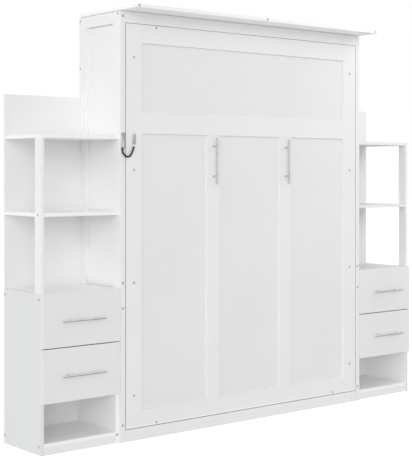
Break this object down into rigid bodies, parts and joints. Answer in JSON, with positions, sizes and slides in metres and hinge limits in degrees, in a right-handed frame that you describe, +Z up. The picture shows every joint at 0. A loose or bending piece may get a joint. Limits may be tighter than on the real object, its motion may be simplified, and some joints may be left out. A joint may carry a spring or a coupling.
{
  "type": "wall bed with shelf towers",
  "caption": "White framed wall bed that folds down on gas struts from a cabinet between two open-shelf drawer towers.",
  "frame": {"origin": "on the floor, under the centre of the whole unit", "axes": "+X to the right seen from the front, +Y from the front to the wall, +Z up"},
  "size_m": [2.618, 0.526, 2.19],
  "materials": {
    "white_laminate": "satin white laminate on board",
    "zinc_steel": "zinc-plated steel",
    "powder_steel": "light grey powder coat",
    "brushed_nickel": "brushed nickel",
    "grey_cap": "matt grey screw cap",
    "lock_metal": "satin grey metal",
    "black_coating": "smooth black cable coating",
    "beech": "lacquered beech",
    "dark_plastic": "moulded dark plastic",
    "rubber": "matt black rubber",
    "black_enamel": "black painted steel",
    "chrome_rod": "ground chrome rod"
  },
  "bodies": {
    "cabinet": {"cabinet_side_left": "white_laminate", "cabinet_side_right": "white_laminate", "side_stiles": "white_laminate", "side_rails": "white_laminate", "top_board": "white_laminate", "header": "white_laminate", "plinth": "white_laminate", "back_panel": "white_laminate", "wall_rails": "white_laminate", "mechanism_plates": "zinc_steel", "cabinet_caps": "grey_cap", "lock_body": "lock_metal", "tower_back_left": "white_laminate", "tower_back_right": "white_laminate", "tower_outer_side_left": "white_laminate", "tower_outer_side_right": "white_laminate", "tower_inner_side_left": "white_laminate", "tower_inner_side_right": "white_laminate", "tower_shelves_left": "white_laminate", "tower_shelves_right": "white_laminate", "tower_case_left": "white_laminate", "tower_case_right": "white_laminate", "tower_uprights": "white_laminate", "tower_plinths": "white_laminate", "drawer_runners": "zinc_steel"},
    "bed": {"door_panel": "white_laminate", "door_stiles": "white_laminate", "door_rails": "white_laminate", "door_handle_left": "brushed_nickel", "door_handle_right": "brushed_nickel", "door_caps": "grey_cap", "bed_side_rails": "powder_steel", "bed_end_rails": "powder_steel", "centre_beam": "powder_steel", "slats": "beech", "slat_holders": "dark_plastic", "bed_pivot_plates": "zinc_steel", "pivot_bushes": "dark_plastic", "bed_studs": "zinc_steel", "lock_keeper": "lock_metal", "lock_cable": "black_coating", "lock_ferrule": "lock_metal"},
    "leg": {"leg_frame": "powder_steel", "leg_feet": "rubber"},
    "strut_tube_left": {"strut_cylinder_left": "black_enamel"},
    "strut_piston_left": {"strut_rod_left": "chrome_rod"},
    "drawer_left_top": {"drawer_front_left_top": "white_laminate", "drawer_box_left_top": "white_laminate", "drawer_handle_left_top": "brushed_nickel"},
    "drawer_left_low": {"drawer_front_left_low": "white_laminate", "drawer_box_left_low": "white_laminate", "drawer_handle_left_low": "brushed_nickel"},
    "strut_tube_right": {"strut_cylinder_right": "black_enamel"},
    "strut_piston_right": {"strut_rod_right": "chrome_rod"},
    "drawer_right_top": {"drawer_front_right_top": "white_laminate", "drawer_box_right_top": "white_laminate", "drawer_handle_right_top": "brushed_nickel"},
    "drawer_right_low": {"drawer_front_right_low": "white_laminate", "drawer_box_right_low": "white_laminate", "drawer_handle_right_low": "brushed_nickel"}
  },
  "joints": [
    {"name": "bed_fold", "type": "hinge", "parent": "cabinet", "child": "bed", "pos_m": [0, -0.079, 0.253], "axis": [1, 0, 0], "range_deg": [0, 90]},
    {"name": "leg_fold", "type": "hinge", "parent": "bed", "child": "leg", "pos_m": [0, -0.057, 2.01], "axis": [1, 0, 0], "range_deg": [0, 180]},
    {"name": "strut_swing_left", "type": "hinge", "parent": "cabinet", "child": "strut_tube_left", "pos_m": [-0.8155, 0.083, 0.86], "axis": [1, 0, 0], "range_deg": [0, 7.86]},
    {"name": "strut_slide_left", "type": "slide", "parent": "strut_tube_left", "child": "strut_piston_left", "axis": [0, 0.2204, 0.9754], "range_m": [0, 0.1261]},
    {"name": "strut_swing_right", "type": "hinge", "parent": "cabinet", "child": "strut_tube_right", "pos_m": [0.8155, 0.083, 0.86], "axis": [1, 0, 0], "range_deg": [0, 7.86]},
    {"name": "strut_slide_right", "type": "slide", "parent": "strut_tube_right", "child": "strut_piston_right", "axis": [0, 0.2204, 0.9754], "range_m": [0, 0.1261]},
    {"name": "drawer_slide_left_top", "type": "slide", "parent": "cabinet", "child": "drawer_left_top", "axis": [0, -1, 0], "range_m": [0, 0.27]},
    {"name": "drawer_slide_left_low", "type": "slide", "parent": "cabinet", "child": "drawer_left_low", "axis": [0, -1, 0], "range_m": [0, 0.27]},
    {"name": "drawer_slide_right_top", "type": "slide", "parent": "cabinet", "child": "drawer_right_top", "axis": [0, -1, 0], "range_m": [0, 0.27]},
    {"name": "drawer_slide_right_low", "type": "slide", "parent": "cabinet", "child": "drawer_right_low", "axis": [0, -1, 0], "range_m": [0, 0.27]}
  ],
  "couplings": [
    {"joint": "leg_fold", "follows": "bed_fold", "ratio": 2},
    {"joint": "strut_swing_left", "follows": "bed_fold", "ratio": 0.087059},
    {"joint": "strut_slide_left", "follows": "bed_fold", "m_per_rad": 0.080119},
    {"joint": "strut_swing_right", "follows": "bed_fold", "ratio": 0.087059},
    {"joint": "strut_slide_right", "follows": "bed_fold", "m_per_rad": 0.080119}
  ]
}
